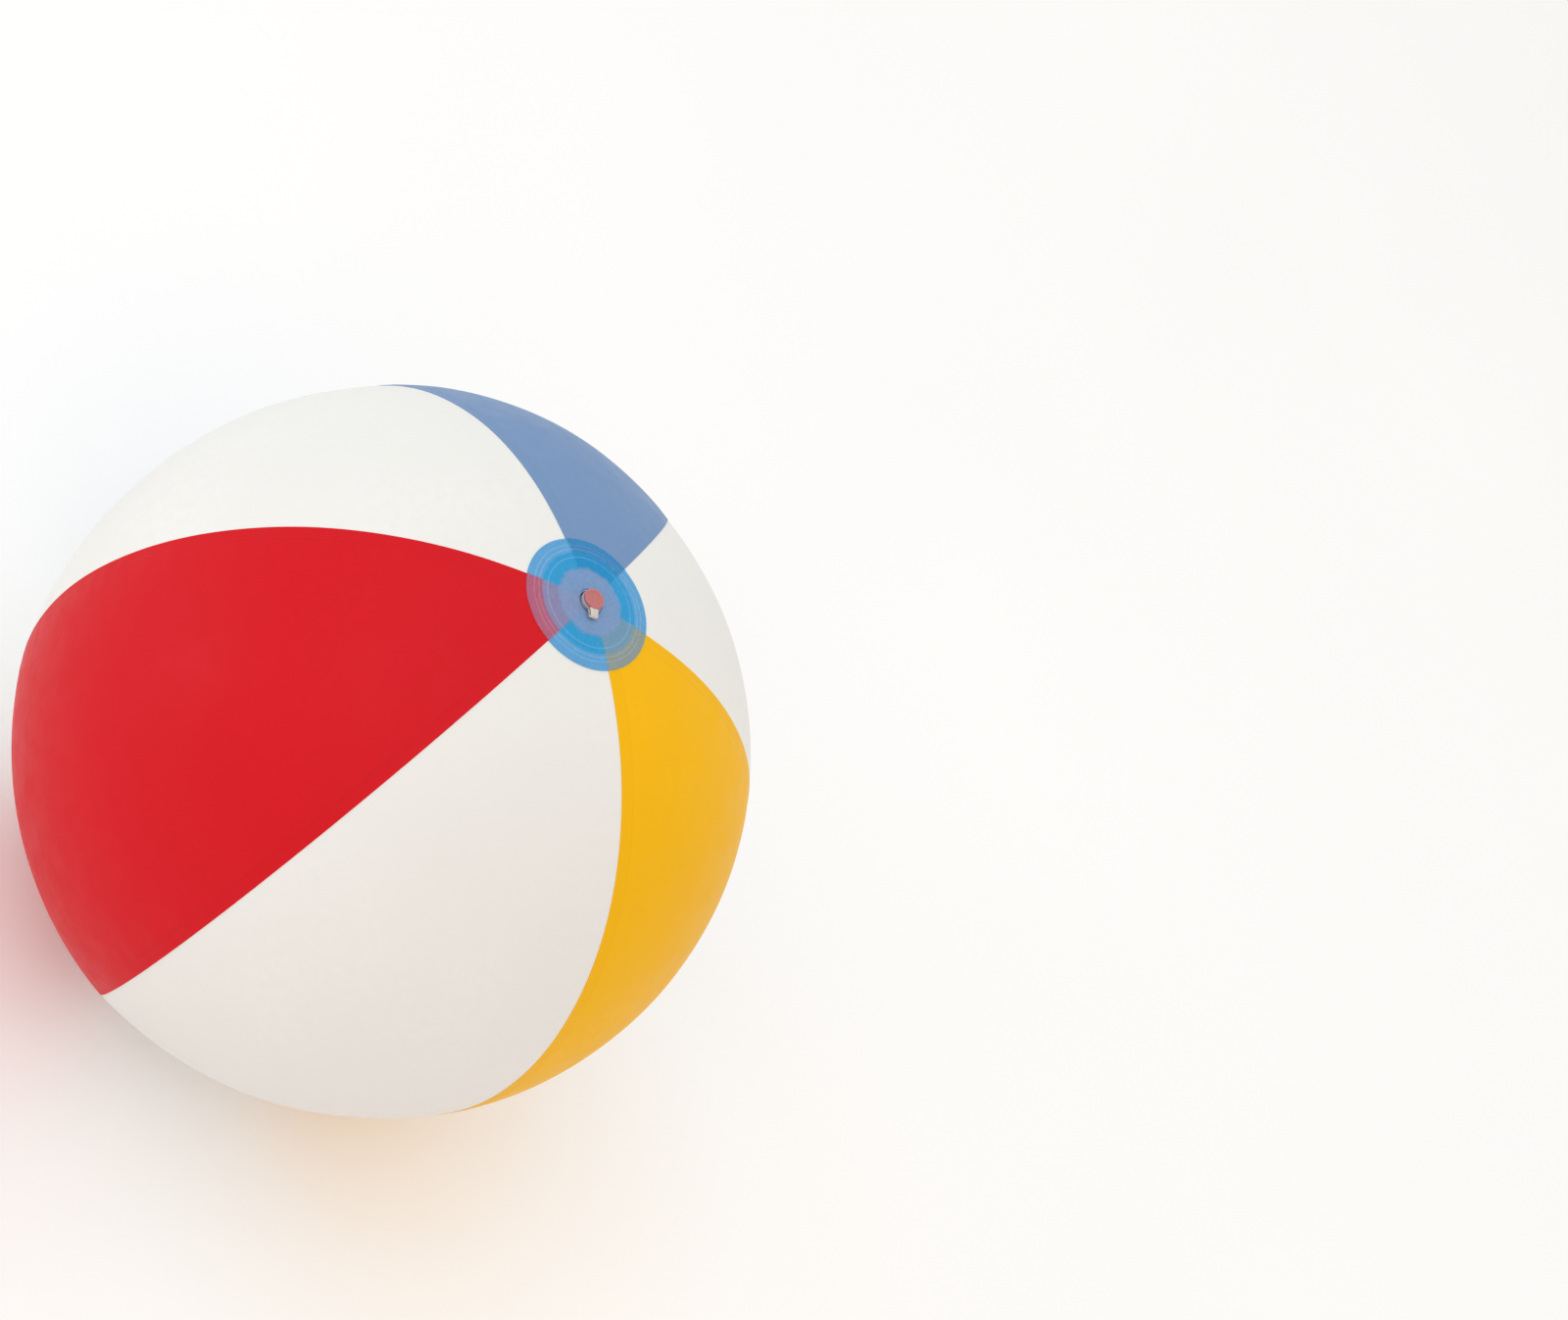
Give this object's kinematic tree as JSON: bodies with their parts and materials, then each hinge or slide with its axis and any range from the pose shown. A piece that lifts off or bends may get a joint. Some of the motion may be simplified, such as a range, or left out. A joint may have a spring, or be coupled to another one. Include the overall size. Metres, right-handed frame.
{
  "type": "inflatable beach ball",
  "caption": "Blown-up beach ball of coloured and white panels, with a round disc at each pole and a push-in air valve.",
  "frame": {"origin": "centre of the ball, on the line through its two poles and midway between them", "axes": "+Z through the pole that holds the valve; +X along a seam, with the yellow panel just anticlockwise of it seen from above"},
  "size_m": [0.325, 0.3245, 0.3213],
  "materials": {
    "red_vinyl": "gloss",
    "yellow_vinyl": "gloss",
    "blue_vinyl": "gloss",
    "white_vinyl": "gloss",
    "disc_vinyl": "gloss",
    "valve_vinyl": "gloss",
    "strap_vinyl": "gloss",
    "stopper_vinyl": "gloss"
  },
  "bodies": {
    "ball": {"yellow_panel": "yellow_vinyl", "white_panel_1": "white_vinyl", "blue_panel": "blue_vinyl", "white_panel_2": "white_vinyl", "red_panel": "red_vinyl", "white_panel_3": "white_vinyl", "valve_disc": "disc_vinyl", "base_disc": "disc_vinyl", "valve_flange": "valve_vinyl", "valve_skirt": "valve_vinyl"},
    "stem": {"valve_stem": "valve_vinyl", "stopper_strap": "strap_vinyl"},
    "stopper": {"stopper": "stopper_vinyl"},
    "flap": {"check_flap": "valve_vinyl"}
  },
  "joints": [
    {"name": "valve_travel", "type": "slide", "parent": "ball", "child": "stem", "axis": [0, 0, 1], "range_m": [0, 0.016], "deforming": ["valve_skirt"]},
    {"name": "stopper_swing", "type": "hinge", "parent": "stem", "child": "stopper", "pos_m": [0.00714, -0.0026, 0.16085], "axis": [0.342, 0.9397, 0], "range_deg": [0, 150], "deforming": ["stopper_strap"]},
    {"name": "flap_swing", "type": "hinge", "parent": "stem", "child": "flap", "pos_m": [-0.00413, 0.0015, 0.15025], "axis": [0.342, 0.9397, 0], "range_deg": [0, 60], "stiffness_Nm_per_rad": 0.0002, "springref_deg": -11.46}
  ]
}
